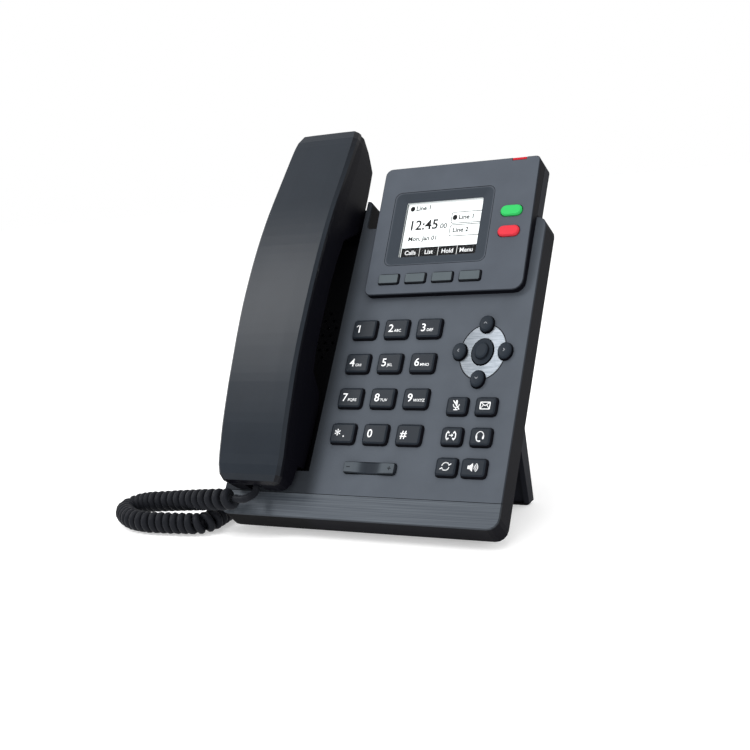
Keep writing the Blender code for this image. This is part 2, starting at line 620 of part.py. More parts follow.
def blended_stations():
    """The stations with more between them where they are far apart; the crown follows a smooth curve."""
    out = []
    for i in range(len(HANDSET) - 1):
        near, far = HANDSET[i], HANDSET[i + 1]
        before = HANDSET[max(i - 1, 0)]
        after = HANDSET[min(i + 2, len(HANDSET) - 1)]
        span = far[0] - near[0]
        steps = max(1, round(span / 6.0)) if i >= 2 else 1
        for k in range(steps):
            t = k / steps
            row = [near[0] + span * t]
            for c in (1, 2, 3, 4):
                slope_a = (far[c] - before[c]) / (far[0] - before[0]) * span
                slope_b = (after[c] - near[c]) / (after[0] - near[0]) * span
                if c == 3 or steps == 1:
                    row.append(near[c] + (far[c] - near[c]) * t)
                else:
                    row.append(near[c] * (2 * t ** 3 - 3 * t * t + 1) + slope_a * (t ** 3 - 2 * t * t + t)
                               + far[c] * (3 * t * t - 2 * t ** 3) + slope_b * (t ** 3 - t * t))
            out.append(tuple(row))
    out.append(HANDSET[-1])
    return out


def cap_section(v, top, split, half):
    """Outer shell section: flat crown, chamfered band down to the split line."""
    crown = half - 2.2
    return [(-half, v, split), (half, v, split), (half - 0.4, v, split + (top - split) * 0.45),
            (crown, v, top - 0.2), (0.55 * crown, v, top), (-0.55 * crown, v, top), (-crown, v, top - 0.2),
            (-half + 0.4, v, split + (top - split) * 0.45)]


def tub_section(v, split, low, half):
    """Inner shell section, tapering towards the underside."""
    span = split - low
    taper = min(1.0, 0.06 * span)
    edge = min(1.8, 0.2 * span)
    return [(-half + taper + edge, v, low), (half - taper - edge, v, low), (half - taper, v, low + edge),
            (half - 0.6, v, split - 0.25 * span), (half - 0.8, v, split), (-half + 0.8, v, split),
            (-half + 0.6, v, split - 0.25 * span), (-half + taper, v, low + edge)]


def build_handset(face):
    blue = material("handset_plastic", (0.05, 0.062, 0.075), 0.42)
    stations = blended_stations()
    cap = [cap_section(v, top, split, half) for v, top, split, low, half in stations]
    outer = solid("handset_outer_shell", [cap], blue, face, (HANDSET_U, 0, 0))
    hollow = [[(-half + 2.2, v, split - 2.0), (half - 2.2, v, split - 2.0), (half - 3.6, v, top - 1.9),
               (-half + 3.6, v, top - 1.9)]
              for v, top, split, low, half in stations[3:-2]]
    cut(outer, "cut_handset_outer", [hollow], face, (HANDSET_U, 0, 0))
    smooth(outer, 25)

    tub = [tub_section(v, split - GAP, low, half) for v, top, split, low, half in stations]
    inner = solid("handset_inner_shell", [tub], material(*DARK), face, (HANDSET_U, 0, 0))
    hollow = []
    for v, top, split, low, half in stations[7:-2]:
        floor = low + 2.0
        side = half - 4.4
        hollow.append([(-side + 1, v, floor), (side - 1, v, floor),
                       (side, v, split + 2.0), (-side, v, split + 2.0)])
    cut(inner, "cut_handset_inner", [hollow], face, (HANDSET_U, 0, 0))
    jack = [block((-4.3, 8.0, 4.6), (4.3, 36.0, 10.9))]
    cut(inner, "cut_handset_jack", jack, face, (HANDSET_U, 0, 0))
    notch = [block((-5.4, 8.0, -2.0), (5.4, 17.6, 11.4))]
    cut(inner, "cut_handset_notch", notch, face, (HANDSET_U, 0, 0))
    sound = []
    for k in range(6):
        a = 2 * pi * k / 6
        ring = ellipse(5.0 * cos(a), RECEIVER_V + 5.0 * sin(a), 1.1, 1.1, 6)
        sound.append([level(ring, -12), level(ring, -4)])
    for side in (-1, 0, 1):
        ring = ellipse(side * 4.0, MIC_V, 0.9, 0.9, 6)
        sound.append([level(ring, -8), level(ring, -2)])
    cut(inner, "cut_handset_sound", sound, face, (HANDSET_U, 0, 0))
    smooth(inner, 25)

    rings = [level(ellipse(0, 0, r, r, 20), w)
             for w, r in ((-5.6, 12.5), (-1.2, 12.5), (-1.199, 8.0), (3.0, 8.0))]
    receiver = solid("receiver_capsule", [rings], material("speaker_metal", (0.3, 0.3, 0.3), 0.4, 0.8),
                     face, (HANDSET_U, RECEIVER_V, 0))
    smooth(receiver)
    rings = [level(ellipse(0, 0, 4.8, 4.8, 16), w) for w in (-3.3, 1.4)]
    mic = solid("microphone_capsule", [rings], material("speaker_metal", (0.3, 0.3, 0.3), 0.4, 0.8),
                face, (HANDSET_U, MIC_V, 0))
    smooth(mic)


# ---- cord ----
# axis of the coiled part, in world mm, from the handset's end to the base's end
COIL_ROUTE = ((-65.6, -72.6, 23.6), (-76.0, -70.9, 22.4), (-88.2, -67.4, 20.6), (-108.2, -59.9, 17.0),
              (-130.9, -52.3, 13.0), (-150.1, -48.0, 10.0), (-160.6, -48.4, 7.4), (-159.4, -57.6, 6.5),
              (-145.2, -68.4, 6.5), (-131.9, -72.0, 6.5), (-119.0, -71.4, 6.5), (-105.5, -70.0, 6.5),
              (-96.0, -68.0, 6.5), (-92.8, -62.0, 6.5), (-93.6, -52.0, 6.5), (-95.0, -42.0, 6.5),
              (-95.0, -31.4, 6.5))


def smooth_route(points, spacing):
    """Points at even spacing on a smooth curve through the given ones."""
    knots = [Vector(p) for p in points]
    ends = [2 * knots[0] - knots[1]] + knots + [2 * knots[-1] - knots[-2]]
    fine = []
    for i in range(1, len(ends) - 2):
        p0, p1, p2, p3 = ends[i - 1:i + 3]
        for k in range(24):
            t = k / 24
            fine.append(0.5 * (2 * p1 + (p2 - p0) * t + (2 * p0 - 5 * p1 + 4 * p2 - p3) * t * t
                               + (3 * p1 - p0 - 3 * p2 + p3) * t ** 3))
    fine.append(knots[-1])
    total = sum((b - a).length for a, b in zip(fine, fine[1:]))
    count = max(2, round(total / spacing))
    out = [fine[0]]
    walked = 0.0
    target = total / count
    for a, b in zip(fine, fine[1:]):
        step = (b - a).length
        while step > 0 and walked + step >= target * len(out) - 1e-6 and len(out) < count:
            out.append(a.lerp(b, (target * len(out) - walked) / step))
        walked += step
    out.append(fine[-1])
    return out


def build_tube(name, points, diameter, resolution, mat):
    curve = bpy.data.curves.new(name, "CURVE")
    curve.dimensions = "3D"
    curve.bevel_depth = diameter / 2 * MM
    curve.bevel_resolution = resolution
    curve.use_fill_caps = True
    spline = curve.splines.new("POLY")
    spline.points.add(len(points) - 1)
    for point, place in zip(spline.points, points):
        point.co = (*[c * MM for c in place], 1.0)
    curve.materials.append(mat)
    obj = bpy.data.objects.new(name, curve)
    bpy.context.scene.collection.objects.link(obj)


def build_cord(face):
    mat = material("cord_plastic", (0.03, 0.033, 0.038), 0.45)
    coil = smooth_route(COIL_ROUTE, 9.0)
    build_tube("cord_coil", coil, COIL_OD, 3, mat)
    clear = material("clear_plastic", (0.7, 0.72, 0.75), 0.1, 0.0, 0.5)
    plug = [block((-3.8, PLUG_V, 5.0), (3.8, PLUG_V + 13.0, 10.4))]
    solid("plug_handset", plug, clear, face, (HANDSET_U, 0, 0))
    v = PORT_V[0] + 6.8
    plug = [block((PLUG_U, v - 3.7, PORT_W - 3.0), (PORT_U + 9.5, v + 3.7, PORT_W + 3.0))]
    solid("plug_base", plug, clear, face)
    build_tube("cord_lead_handset", handset_lead(), CORD_D, 2, mat)
    build_tube("cord_lead_base", base_lead(), CORD_D, 2, mat)


def handset_lead():
    start = world(HANDSET_U, PLUG_V - 2 * GAP, 7.7)
    end = Vector(COIL_ROUTE[0]) + Vector((3 * GAP, 0, 0.1))
    below = world(HANDSET_U, PLUG_V - 5.0, 7.9)
    return smooth_route([start, below, end + Vector((4.6, 0.4, 0.2)), end], 2.4)


def base_lead():
    start = Vector(COIL_ROUTE[-1]) + Vector((0, 3 * GAP, 0))
    plug = world(PLUG_U - 2 * GAP, PORT_V[0] + 6.8, PORT_W)
    return smooth_route([start, start + Vector((-0.8, 4.0, 0.8)), plug + Vector((-8.6, 2.0, -15.0)),
                         plug + Vector((-8.4, 0.4, -5.0)), plug + Vector((-3.0, 0.0, 0.0)), plug], 3.0)


def main():
    clear_scene()
    face = bpy.data.objects.new("face_frame", None)
    bpy.context.scene.collection.objects.link(face)
    face.location = (0, FACE_Y * MM, FACE_Z * MM)
    face.rotation_euler = (radians(TILT), 0, 0)
    head = bpy.data.objects.new("head_frame", None)
    bpy.context.scene.collection.objects.link(head)
    head.parent = face
    head.location = (0, HEAD_V * MM, HEAD_W * MM)
    head.rotation_euler = (radians(HEAD_TILT), 0, 0)

    build_top_housing(face)
    build_trim(face)
    build_back_cover(face)
    build_screws(face)
    build_nav_plate(face)
    build_keys(face)
    build_inside(face)
    build_sockets(face)
    build_head(face, head)
    build_stand(face)
    rubber_bar("front_foot", 60.0, FACE_Y + 18.2, FACE_Y + 26.4, 2.1, 2.0)
    rubber_bar("stand_foot", 69.0, FACE_Y + 79.4, FACE_Y + 85.2, 1.1, 1.5)
    build_handset(face)
    build_cord(face)


main()
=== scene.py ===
"""Looks of the desk IP phone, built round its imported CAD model.

Lengths are in mm and angles in degrees, unless a comment says otherwise.
"""

from math import cos, pi, radians, sin

import bmesh
import bpy
from mathutils import Matrix, Vector

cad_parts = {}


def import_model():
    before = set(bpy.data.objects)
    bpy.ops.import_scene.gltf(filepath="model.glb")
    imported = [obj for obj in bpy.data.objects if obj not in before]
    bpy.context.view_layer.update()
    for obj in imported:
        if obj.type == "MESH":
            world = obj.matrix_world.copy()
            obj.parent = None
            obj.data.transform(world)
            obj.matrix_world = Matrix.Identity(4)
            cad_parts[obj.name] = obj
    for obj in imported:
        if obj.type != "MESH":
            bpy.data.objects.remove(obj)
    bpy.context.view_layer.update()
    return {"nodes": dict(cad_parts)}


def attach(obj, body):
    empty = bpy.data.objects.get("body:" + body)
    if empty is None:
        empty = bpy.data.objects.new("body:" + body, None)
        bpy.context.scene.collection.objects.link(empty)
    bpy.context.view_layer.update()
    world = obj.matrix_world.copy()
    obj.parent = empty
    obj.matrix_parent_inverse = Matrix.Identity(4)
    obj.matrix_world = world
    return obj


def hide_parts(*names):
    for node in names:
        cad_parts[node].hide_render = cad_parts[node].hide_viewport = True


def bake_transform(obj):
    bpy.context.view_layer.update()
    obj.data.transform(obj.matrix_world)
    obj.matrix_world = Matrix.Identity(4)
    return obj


MM = 0.001                      # metres in one millimetre
TILT = 55.0                     # slope of the face
FACE_Y = -64.93                 # where the face's own frame starts, in the world
FACE_Z = 12.5
HEAD_V = 131.3                  # where the display head's own frame starts, on the face
HEAD_W = 4.5
HEAD_TILT = 2.65                # how much steeper the head is than the face

CAMERA_LENS = 56.66
CAMERA_SENSOR = 36.0
CAMERA_PLACE = (313.0, FACE_Y - 511.72, 195.09)
CAMERA_RIGHT = (0.875351, 0.472951, -0.100393)
CAMERA_BACK = (0.483475, -0.857769, 0.174596)

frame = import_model()
nodes = frame["nodes"]


# ---- frames of the sloping face and of the display head, to world metres ----
def face_matrix():
    turn = Matrix.Rotation(radians(TILT), 4, "X")
    return Matrix.Translation((0, FACE_Y * MM, FACE_Z * MM)) @ turn @ Matrix.Scale(MM, 4)


def head_matrix():
    turn = Matrix.Rotation(radians(HEAD_TILT), 4, "X")
    return face_matrix() @ Matrix.Translation((0, HEAD_V, HEAD_W)) @ turn


FACE = face_matrix()
HEAD = head_matrix()


# ---- camera ----
def make_camera():
    data = bpy.data.cameras.new("camera")
    data.lens = CAMERA_LENS
    data.sensor_width = CAMERA_SENSOR
    data.clip_end = 50.0
    cam = bpy.data.objects.new("camera", data)
    bpy.context.scene.collection.objects.link(cam)
    right = Vector(CAMERA_RIGHT)
    back = Vector(CAMERA_BACK)
    up = back.cross(right).normalized()
    right = up.cross(back).normalized()
    place = Vector(CAMERA_PLACE) * MM
    cam.matrix_world = Matrix((
        (right.x, up.x, back.x, place.x),
        (right.y, up.y, back.y, place.y),
        (right.z, up.z, back.z, place.z),
        (0, 0, 0, 1)))
    bpy.context.scene.camera = cam


make_camera()


# ---- materials ----
MOTTLE_SCALE = 60.0             # patches of colour, per metre
GRAIN_SCALE = 2600.0            # leather-like grain, per metre
BUMP_DEPTH = 0.1 * MM


def shader_of(mat):
    return mat.node_tree.nodes["Principled BSDF"]


def new_material(name, colour, roughness, metallic, shine):
    mat = bpy.data.materials.new(name)
    mat.use_nodes = True
    shader = shader_of(mat)
    shader.inputs["Base Color"].default_value = (*colour, 1.0)
    shader.inputs["Roughness"].default_value = roughness
    shader.inputs["Metallic"].default_value = metallic
    shader.inputs["Specular IOR Level"].default_value = shine
    return mat


def coordinate(tree, kind):
    return tree.nodes.new("ShaderNodeTexCoord").outputs[kind]


def noise(tree, vector, scale, detail):
    node = tree.nodes.new("ShaderNodeTexNoise")
    node.inputs["Scale"].default_value = scale
    node.inputs["Detail"].default_value = detail
    tree.links.new(vector, node.inputs["Vector"])
    return node.outputs["Fac"]


def colour_between(mat, value, dark, light, start, end):
    """The base colour goes from dark to light while value goes from start to end."""
    tree = mat.node_tree
    ramp = tree.nodes.new("ShaderNodeValToRGB")
    tones = ramp.color_ramp.elements
    tones[0].position = start
    tones[1].position = end
    tones[0].color = (*dark, 1.0)
    tones[1].color = (*light, 1.0)
    tree.links.new(value, ramp.inputs["Fac"])
    tree.links.new(ramp.outputs["Color"], shader_of(mat).inputs["Base Color"])


def bump_from(mat, height, strength):
    tree = mat.node_tree
    bump = tree.nodes.new("ShaderNodeBump")
    bump.inputs["Strength"].default_value = strength
    bump.inputs["Distance"].default_value = BUMP_DEPTH
    tree.links.new(height, bump.inputs["Height"])
    tree.links.new(bump.outputs["Normal"], shader_of(mat).inputs["Normal"])


def grained(name, colour, roughness=0.5, grain=0.10, spread=0.06, metallic=0.0, shine=0.05):
    """Moulded plastic: faint mottling of the colour and a fine leather-like grain."""
    mat = new_material(name, colour, roughness, metallic, shine)
    tree = mat.node_tree
    where = coordinate(tree, "Object")
    dark = [c * (1 - spread) for c in colour]
    light = [min(1.0, c * (1 + spread)) for c in colour]
    colour_between(mat, noise(tree, where, MOTTLE_SCALE, 4.0), dark, light, 0.3, 0.7)
    bump_from(mat, noise(tree, where, GRAIN_SCALE, 3.0), grain)
    return mat


FACE_NORMAL = (0.0, -sin(radians(TILT)), cos(radians(TILT)))
HEAD_NORMAL = (0.0, -sin(radians(TILT + HEAD_TILT)), cos(radians(TILT + HEAD_TILT)))


def ramp_between(tree, value, low, high, value_low=0.0, value_high=1.0):
    """value_low below low, value_high above high, and a smooth step between."""
    node = tree.nodes.new("ShaderNodeMapRange")
    node.interpolation_type = "SMOOTHSTEP"
    node.inputs["From Min"].default_value = low
    node.inputs["From Max"].default_value = high
    node.inputs["To Min"].default_value = value_low
    node.inputs["To Max"].default_value = value_high
    tree.links.new(value, node.inputs["Value"])
    return node.outputs["Result"]


def along(tree, source, direction):
    """How far a coordinate or a normal reaches along a direction."""
    node = tree.nodes.new("ShaderNodeVectorMath")
    node.operation = "DOT_PRODUCT"
    node.inputs[1].default_value = direction
    tree.links.new(source, node.inputs[0])
    return node.outputs["Value"]


def product(tree, a, b):
    node = tree.nodes.new("ShaderNodeMath")
    node.operation = "MULTIPLY"
    tree.links.new(a, node.inputs[0])
    tree.links.new(b, node.inputs[1])
    return node.outputs["Value"]


SURFACES = {"face": (FACE_NORMAL, FACE), "head": (HEAD_NORMAL, HEAD)}


def blend_colour(mat, kind, factor, first, second):
    """Puts a mix of two colours, each a socket or a value, in place of the base colour."""
    tree = mat.node_tree
    mix = tree.nodes.new("ShaderNodeMix")
    mix.data_type = "RGBA"
    mix.blend_type = kind
    for place, given in ((0, factor), (6, first), (7, second)):
        if isinstance(given, bpy.types.NodeSocket):
            tree.links.new(given, mix.inputs[place])
        else:
            mix.inputs[place].default_value = given
    tree.links.new(mix.outputs[2], shader_of(mat).inputs["Base Color"])


def base_colour(mat):
    return shader_of(mat).inputs["Base Color"].links[0].from_socket


def shade_by_place(mat, dark, surface, turn=None, depth=None):
    """Painted shade: the colour falls to a darker one on parts turned away from a surface, or lying below
    it.

    turn is a pair of cosines, depth a pair of heights in mm; each goes from dark to the full colour."""
    normal, placed = SURFACES[surface]
    tree = mat.node_tree
    keep = None
    if turn:
        keep = ramp_between(tree, along(tree, coordinate(tree, "Normal"), normal), *turn)
    if depth:
        level = placed.translation.dot(Vector(normal))
        high = ramp_between(tree, along(tree, coordinate(tree, "Object"), normal),
                            level + depth[0] * MM, level + depth[1] * MM)
        keep = product(tree, keep, high) if keep else high
    blend_colour(mat, "MIX", keep, (*dark, 1.0), base_colour(mat))
    return mat


def fade_across(mat, low, high, factor_low, factor_high=1.0):
    """Painted light and shade: the colour is scaled from one factor to another across the phone's width,
    from low to high in mm.
    """
    tree = mat.node_tree
    scale = ramp_between(tree, along(tree, coordinate(tree, "Object"), (1.0, 0.0, 0.0)),
                         low * MM, high * MM, factor_low, factor_high)
    blend_colour(mat, "MULTIPLY", 1.0, base_colour(mat), scale)


def brushed(name, dark, light, roughness, metallic, stretch, grain=0.25):
    """Lines drawn along X on the face's slope, as on a brushed strip."""
    mat = new_material(name, light, roughness, metallic, 0.12)
    tree = mat.node_tree
    lay = tree.nodes.new("ShaderNodeMapping")
    lay.vector_type = "POINT"
    lay.inputs["Rotation"].default_value = (radians(-TILT), 0, 0)
    lay.inputs["Scale"].default_value = stretch
    tree.links.new(coordinate(tree, "Object"), lay.inputs["Vector"])
    lines = noise(tree, lay.outputs["Vector"], 1.0, 5.0)
    colour_between(mat, lines, dark, light, 0.32, 0.68)
    bump_from(mat, lines, grain)
    return mat


# the next two colours are painted shade, put on surfaces turned away from the face or lying below it
PAINTED_SHADE_BLACK = (0.0025, 0.0026, 0.0045)
KEY_PAINTED_SHADE = (0.004, 0.004, 0.006)
AWAY = (0.6, 0.85)              # cosines between which a surface counts as turned away and takes painted shade
# painted shade: the body's turned-away sides and the cradle recess go near black
SLATE = shade_by_place(grained("slate_plastic", (0.068, 0.078, 0.093), 0.6), PAINTED_SHADE_BLACK, "face",
                       turn=AWAY, depth=(-1.6, -0.7))
# painted shade: the face darkens towards the cradle, as in the handset's shadow
fade_across(SLATE, -32.0, -21.0, 0.35)
HEAD_SLATE = grained("slate_head", (0.066, 0.076, 0.092), 0.6)
# painted shade: darker on the display's recessed surround, and near black on the head's turned-away sides
shade_by_place(HEAD_SLATE, (0.034, 0.041, 0.051), "head", depth=(-0.35, -0.1))
shade_by_place(HEAD_SLATE, PAINTED_SHADE_BLACK, "head", turn=AWAY)
# painted shade on the soft keys' turned-away sides
SLATE_SOFT = shade_by_place(grained("slate_key", (0.072, 0.087, 0.096), 0.5), PAINTED_SHADE_BLACK, "head", turn=AWAY)
# painted shade on the rocker's turned-away sides
ROCKER_PLASTIC = shade_by_place(grained("rocker_plastic", (0.062, 0.073, 0.084), 0.5), PAINTED_SHADE_BLACK, "face",
                                turn=AWAY)
# painted shade in the rocker's scooped middle
shade_by_place(ROCKER_PLASTIC, (0.016, 0.020, 0.026), "face", depth=(0.6, 1.8))
CHARCOAL = grained("charcoal_plastic", (0.010, 0.011, 0.015), 0.55)
# painted shade on the handset's sides turned away from the face
HANDSET = shade_by_place(grained("handset_plastic", (0.011, 0.015, 0.021), 0.36, grain=0.04, shine=0.13),
                         PAINTED_SHADE_BLACK, "face", turn=(0.45, 0.8))
# painted shade: the inner shell gets a near-black copy of the handset plastic
HANDSET_PAINTED_SHADE = grained("handset_painted_shade_plastic", (0.003, 0.003, 0.005), 0.5, grain=0.05)
# painted shade on the keys' turned-away sides
KEY = shade_by_place(grained("key_plastic", (0.010, 0.014, 0.020), 0.40, grain=0.10, shine=0.10), KEY_PAINTED_SHADE,
                     "face", turn=AWAY)
# painted shade on the navigation keys' turned-away sides
NAV_KEY = shade_by_place(grained("nav_key_plastic", (0.016, 0.021, 0.028), 0.4, grain=0.04), KEY_PAINTED_SHADE,
                         "face", turn=(0.2, 0.6))
STRIP = brushed("brushed_strip", (0.044, 0.052, 0.064), (0.080, 0.092, 0.106), 0.5, 0.1,
                (14.0, 2300.0, 2300.0))
# painted shade on the strip's turned-away surfaces
shade_by_place(STRIP, PAINTED_SHADE_BLACK, "face", turn=AWAY)
SILVER = brushed("brushed_silver", (0.10, 0.115, 0.13), (0.17, 0.185, 0.205), 0.38, 0.6,
                 (120.0, 2200.0, 2200.0), 0.1)
# painted highlight: the plate grows lighter towards its right, like a sheen on brushed metal
fade_across(SILVER, 46.0, 74.0, 0.8, 1.6)
RUBBER = grained("foot_rubber", (0.008, 0.008, 0.009), 0.85, grain=0.2)
CORD = grained("cord_plastic", (0.011, 0.012, 0.015), 0.42, grain=0.03)
GREEN = grained("green_key", (0.03, 0.42, 0.10), 0.35, grain=0.03, spread=0.03)
RED = grained("red_key", (0.55, 0.030, 0.045), 0.35, grain=0.03, spread=0.03)
RED_LENS = grained("red_lens", (0.40, 0.015, 0.025), 0.25, grain=0.0, spread=0.02)
SOCKET = grained("socket_plastic", (0.010, 0.010, 0.011), 0.4)
STEEL = grained("screw_steel", (0.32, 0.32, 0.33), 0.3, grain=0.05, metallic=1.0)
BOARD = grained("circuit_board", (0.012, 0.085, 0.035), 0.45)
MEMBRANE = grained("membrane_rubber", (0.02, 0.02, 0.022), 0.8)
CAPSULE = grained("capsule_metal", (0.25, 0.25, 0.26), 0.35, metallic=0.9)
WHITE = grained("legend_white", (0.86, 0.87, 0.88), 0.5, grain=0.0, spread=0.01)
GREY_LEGEND = grained("legend_grey", (0.012, 0.014, 0.017), 0.5, grain=0.0, spread=0.01)
PALE_GREY = grained("legend_pale", (0.30, 0.31, 0.33), 0.5, grain=0.0, spread=0.01)
PANEL = grained("display_white", (0.86, 0.90, 0.90), 0.45, grain=0.0, spread=0.01)
INK = grained("display_ink", (0.006, 0.006, 0.007), 0.5, grain=0.0, spread=0.01)
BLACK_LINE = grained("groove_black", (0.003, 0.003, 0.004), 0.6, grain=0.0, spread=0.01)


def clear_plastic(name, colour, alpha, roughness):
    mat = grained(name, colour, roughness, grain=0.0, spread=0.01)
    shader_of(mat).inputs["Alpha"].default_value = alpha
    return mat


def glow(mat, colour, strength):
    shader_of(mat).inputs["Emission Color"].default_value = (*colour, 1.0)
    shader_of(mat).inputs["Emission Strength"].default_value = strength


LENS = clear_plastic("clear_lens", (0.04, 0.045, 0.045), 0.04, 0.06)
CLEAR = clear_plastic("clear_plug", (0.30, 0.32, 0.34), 0.5, 0.12)

glow(PANEL, (0.88, 0.95, 0.95), 0.35)


def dress(mat, *names):
    for name in names:
        data = nodes[name].data
        data.materials.clear()
        data.materials.append(mat)


DIAL = ("1", "2", "3", "4", "5", "6", "7", "8", "9", "star", "0", "hash")
FUNCTIONS = ("mute", "message", "transfer", "headset", "redial", "speaker")
dress(SLATE, "top_housing")
dress(HEAD_SLATE, "head_bezel")
dress(CHARCOAL, "bottom_housing", "head_rear_cover", "stand", "hook_lever")
dress(HANDSET, "handset_outer_shell")
dress(HANDSET_PAINTED_SHADE, "handset_inner_shell")
dress(KEY, *["key_" + n for n in DIAL + FUNCTIONS])
dress(NAV_KEY, "key_up", "key_down", "key_left", "key_right", "key_ok")
dress(SLATE_SOFT, "soft_key_1", "soft_key_2", "soft_key_3", "soft_key_4")
dress(ROCKER_PLASTIC, "volume_rocker")
dress(STRIP, "front_trim_strip")
dress(SILVER, "navigation_plate")
dress(RUBBER, "front_foot", "stand_foot")
dress(GREEN, "line_key_1")
dress(RED, "line_key_2")
dress(RED_LENS, "message_light")
dress(SOCKET, "network_jacks", "audio_jacks", "power_jack")
dress(STEEL, "housing_screw_left", "housing_screw_right")
dress(BOARD, "main_board")
dress(MEMBRANE, "keypad_membrane")
dress(CAPSULE, "speaker", "receiver_capsule", "microphone_capsule")
dress(LENS, "display_lens")
dress(CHARCOAL, "display_module")
dress(CLEAR, "plug_handset", "plug_base")


# ---- cord ----
# the axis of the coiled part, as in the CAD source
COIL_ROUTE = ((-65.6, -72.6, 23.6), (-76.0, -70.9, 22.4), (-88.2, -67.4, 20.6), (-108.2, -59.9, 17.0),
              (-130.9, -52.3, 13.0), (-150.1, -48.0, 10.0), (-160.6, -48.4, 7.4), (-159.4, -57.6, 6.5),
              (-145.2, -68.4, 6.5), (-131.9, -72.0, 6.5), (-119.0, -71.4, 6.5), (-105.5, -70.0, 6.5),
              (-96.0, -68.0, 6.5), (-92.8, -62.0, 6.5), (-93.6, -52.0, 6.5), (-95.0, -42.0, 6.5),
              (-95.0, -31.4, 6.5))
GAP = 0.3                       # between the wire's end and the plug's wall
CORD_D = 4.2                    # the wire
COIL_R = 4.1                    # from the coil's axis to the wire's middle
PITCH_UPPER = 6.8
PITCH_BEND = 4.35
PITCH_LOWER = 4.75
PITCH_EASE = 14.0               # length over which one pitch passes into the next
BEND = (88.0, 126.0)            # where along the axis the upper run ends and the lower one starts
HELIX_STEP = 0.3                # along the axis
HANDSET_U = -58.0               # the plug in the handset's lower end
PLUG_V = 15.2
PLUG_U = -88.0                  # the plug in the body's left side
PORT_V = 40.8
PORT_W = -23.2
SIDES = 10                      # of the wire's section


def world(u, v, w):
    return (FACE @ Vector((u, v, w))) / MM


def path_length(points):
    return sum((b - a).length for a, b in zip(points, points[1:]))


def smooth_route(points, spacing):
    """Points at even spacing on a smooth curve through the given ones."""
    knots = [Vector(p) for p in points]
    ends = [2 * knots[0] - knots[1]] + knots + [2 * knots[-1] - knots[-2]]
    fine = []
    for i in range(1, len(ends) - 2):
        p0, p1, p2, p3 = ends[i - 1:i + 3]
        for k in range(24):
            t = k / 24
            fine.append(0.5 * (2 * p1 + (p2 - p0) * t + (2 * p0 - 5 * p1 + 4 * p2 - p3) * t * t
                               + (3 * p1 - p0 - 3 * p2 + p3) * t ** 3))
    fine.append(knots[-1])
    total = path_length(fine)
    count = max(2, round(total / spacing))
    out = [fine[0]]
    walked = 0.0
    target = total / count
    for a, b in zip(fine, fine[1:]):
        step = (b - a).length
        while step > 0 and walked + step >= target * len(out) - 1e-6 and len(out) < count:
            out.append(a.lerp(b, (target * len(out) - walked) / step))
        walked += step
    out.append(fine[-1])
    return out


def carried_frames(points, first_normal):
    """A tangent and a normal at each point, the normal carried along without twist."""
    frames = []
    normal = Vector(first_normal)
    for i, p in enumerate(points):
        tangent = (points[min(i + 1, len(points) - 1)] - points[max(i - 1, 0)]).normalized()
        normal = (normal - tangent * normal.dot(tangent)).normalized()
        frames.append((tangent, normal))
    return frames


def pitch_at(s):
    """Distance between turns: open on the upper run, close round the bend, in between on the lower run."""
    t = min(1.0, max(0.0, (s - BEND[0] + PITCH_EASE) / PITCH_EASE))
    pitch = PITCH_UPPER + (PITCH_BEND - PITCH_UPPER) * t * t * (3 - 2 * t)
    t = min(1.0, max(0.0, (s - BEND[1]) / PITCH_EASE))
    return pitch + (PITCH_LOWER - PITCH_BEND) * t * t * (3 - 2 * t)


def helix_points():
    """The coil's own wire: it winds round the axis, and closes in to it over its first and last turns."""
    axis = smooth_route(COIL_ROUTE, HELIX_STEP)
    frames = carried_frames(axis, (0, 0, 1))
    step = path_length(axis) / (len(axis) - 1)
    length = step * (len(axis) - 1)
    out = []
    angle = 0.0
    for i, (p, (tangent, normal)) in enumerate(zip(axis, frames)):
        s = step * i
        t = min(1.0, min(s, length - s) / PITCH_BEND)
        radius = COIL_R * t * t * (3 - 2 * t)
        side = tangent.cross(normal)
        out.append(p + normal * (radius * cos(angle)) + side * (radius * sin(angle)))
        angle += 2 * pi * step / pitch_at(s)
    return out


def cord_path():
    """The wire's middle line: the handset's lead, the coil, and the tail to the socket."""
    start = Vector(COIL_ROUTE[0])
    end = Vector(COIL_ROUTE[-1])
    lead = smooth_route([world(HANDSET_U, PLUG_V - 2 * GAP, 7.7), world(HANDSET_U, PLUG_V - 5.0, 7.9),
                         start + Vector((5.5, 0.4, 0.3)), start], 0.8)
    plug = world(PLUG_U - 2 * GAP, PORT_V, PORT_W)
    tail = smooth_route([end, end + Vector((-0.8, 4.6, 0.8)), plug + Vector((-8.6, 2.0, -15.0)),
                         plug + Vector((-8.4, 0.4, -5.0)), plug + Vector((-3.0, 0.0, 0.0)), plug], 1.0)
    return lead[:-1] + helix_points() + tail[1:]


def make_cord():
    path = cord_path()
    frames = carried_frames(path, (0, 0, 1))
    bm = bmesh.new()
    rings = []
    for p, (tangent, normal) in zip(path, frames):
        side = tangent.cross(normal)
        rings.append([bm.verts.new((p + (normal * cos(2 * pi * k / SIDES) + side * sin(2 * pi * k / SIDES))
                                    * (CORD_D / 2)) * MM) for k in range(SIDES)])
    bm.faces.new(list(reversed(rings[0])))
    bm.faces.new(rings[-1])
    for low, high in zip(rings, rings[1:]):
        for k in range(SIDES):
            j = (k + 1) % SIDES
            bm.faces.new((low[k], low[j], high[j], high[k]))
    bmesh.ops.recalc_face_normals(bm, faces=bm.faces[:])
    mesh = bpy.data.meshes.new("coiled_cord")
    bm.to_mesh(mesh)
    bm.free()
    mesh.shade_smooth()
    mesh.materials.append(CORD)
    cord = bpy.data.objects.new("coiled_cord", mesh)
    bpy.context.scene.collection.objects.link(cord)
    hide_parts("cord_coil", "cord_lead_handset", "cord_lead_base")
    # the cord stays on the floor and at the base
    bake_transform(cord)


make_cord()


